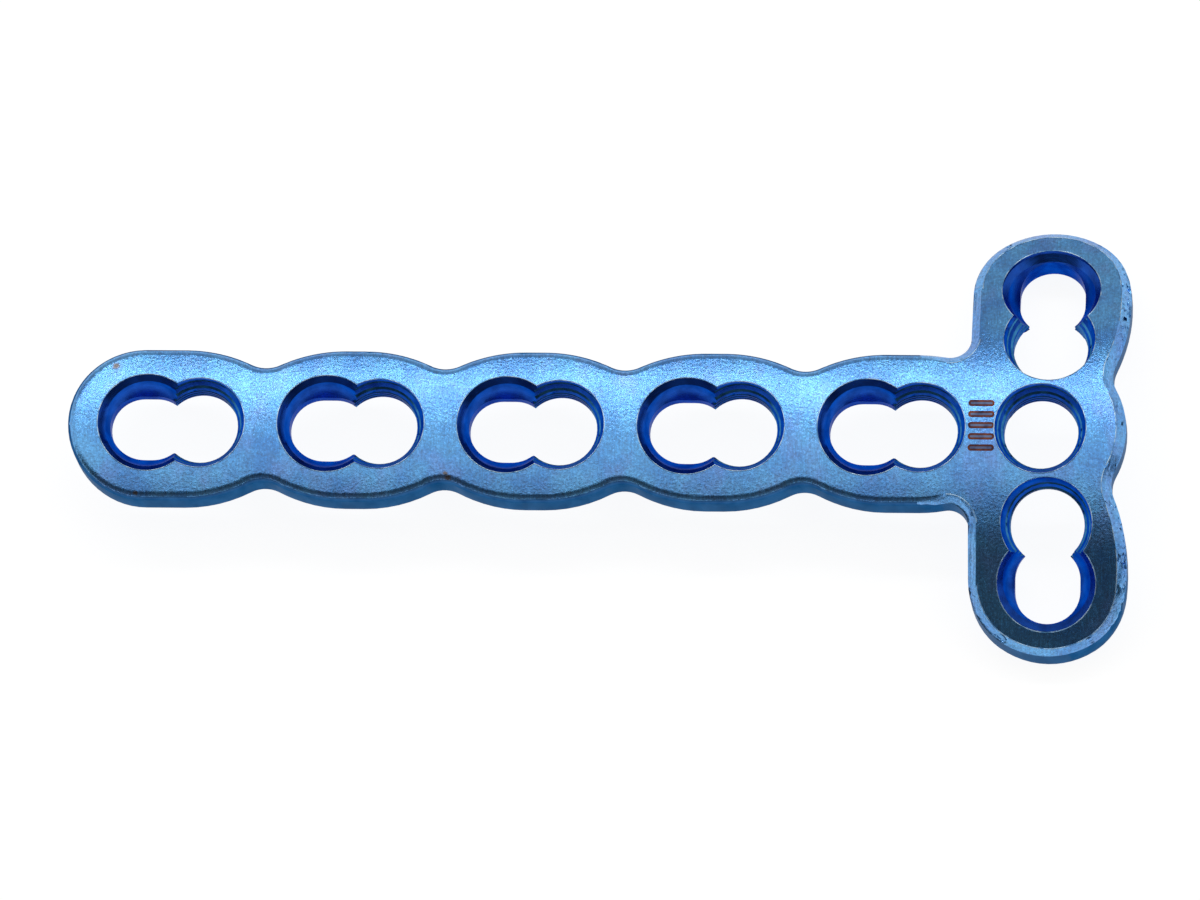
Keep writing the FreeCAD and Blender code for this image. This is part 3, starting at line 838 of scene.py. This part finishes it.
# The light: one long soft box above the far side of the plate, whose reflection makes the
# bright band along the crown, and a room with a bright ceiling and a dark near side.
KEY_TILT = math.radians(28.5)
KEY_DISTANCE = 0.7
KEY_SIDE = 0.06
KEY_LENGTH = 0.8
KEY_POWER = 1.0
ROOM_LEVELS = (
    (0.00, 0.25), (0.10, 0.13), (0.22, 0.07), (0.35, 0.11), (0.42, 0.85), (0.48, 1.05),
    (0.55, 0.95), (0.72, 0.85), (0.80, 0.44), (1.00, 0.58),
)


def soft_box(name, tilt, distance, side, length, power):
    """A rectangular lamp, tilted from straight above toward the far side, aimed at the plate."""
    lamp = bpy.data.lights.new(name, "AREA")
    lamp.shape = "RECTANGLE"
    lamp.size, lamp.size_y = length, side
    lamp.energy = power
    box = bpy.data.objects.new(name, lamp)
    bpy.context.scene.collection.objects.link(box)
    away = Vector((0, math.sin(tilt), math.cos(tilt)))
    box.location = away * distance
    box.rotation_euler = away.to_track_quat("Z", "Y").to_euler()


soft_box("key_box", KEY_TILT, KEY_DISTANCE, KEY_SIDE, KEY_LENGTH, KEY_POWER)
room = bpy.data.worlds.new("room")
bpy.context.scene.world = room
room.use_nodes = True
sky = room.node_tree
sky.nodes.clear()
way = node_line(
    sky,
    "ShaderNodeSeparateXYZ",
    links={"Vector": node_line(sky, "ShaderNodeTexCoord").outputs["Generated"]},
).outputs["Y"]
across = remapped(sky, way, -1.0, 1.0, 0.0, 1.0)
levels = node_line(sky, "ShaderNodeValToRGB", links={"Fac": across})
steps = levels.color_ramp.elements
for spot, _ in ROOM_LEVELS[1:-1]:
    steps.new(spot)
for step, (_, grey) in zip(steps, ROOM_LEVELS):
    step.color = (grey, grey, grey, 1)
glow = node_line(sky, "ShaderNodeBackground", links={"Color": levels.outputs["Color"]})
node_line(sky, "ShaderNodeOutputWorld", links={"Surface": glow.outputs[0]})

# The camera: a long lens, high above the plate, a little toward its near side and its head.
# Its place is worked out in the plate's own axes from the middle shaft hole on the crown.
PICTURE_WIDTH = 1200
PIXELS_PER_MM = 15.062
CAMERA_DISTANCE = 1000.0
ACROSS_TILT = math.radians(13.5)
ALONG_TILT = math.radians(4.7)
ROLL = math.radians(-1.5)
HOLE_COLUMN, HOLE_ROW = 532.9, 423.8
MIDDLE_COLUMN, MIDDLE_ROW = 600.0, 450.0
SENSOR = 36.0
NEAR_CLIP, FAR_CLIP = 0.05, 10.0
THREAD_OFFSET = 1.69 * MM
middle_hole = next(m for m in THREAD_HOLES if m["name"] == "shaft_hole_3")
AIM = Vector((middle_hole["pos_m"][0] - THREAD_OFFSET, 0, PLATE_TOP))

turn = (
    Matrix.Rotation(ROLL, 3, "Z")
    @ Matrix.Rotation(-ACROSS_TILT, 3, "X")
    @ Matrix.Rotation(-ALONG_TILT, 3, "Y")
)
view = bpy.data.cameras.new("camera")
view.sensor_width = SENSOR
view.lens = PIXELS_PER_MM * CAMERA_DISTANCE / PICTURE_WIDTH * SENSOR
view.clip_start, view.clip_end = NEAR_CLIP, FAR_CLIP
camera = bpy.data.objects.new("camera", view)
bpy.context.scene.collection.objects.link(camera)
stand = Vector(
    (
        (MIDDLE_COLUMN - HOLE_COLUMN) / PIXELS_PER_MM,
        (HOLE_ROW - MIDDLE_ROW) / PIXELS_PER_MM,
        CAMERA_DISTANCE,
    )
)
camera.matrix_world = Matrix.Translation(AIM + turn.transposed() @ stand * MM) @ (
    turn.transposed().to_4x4()
)
bpy.context.scene.camera = camera
bpy.context.scene.view_settings.view_transform = "Standard"
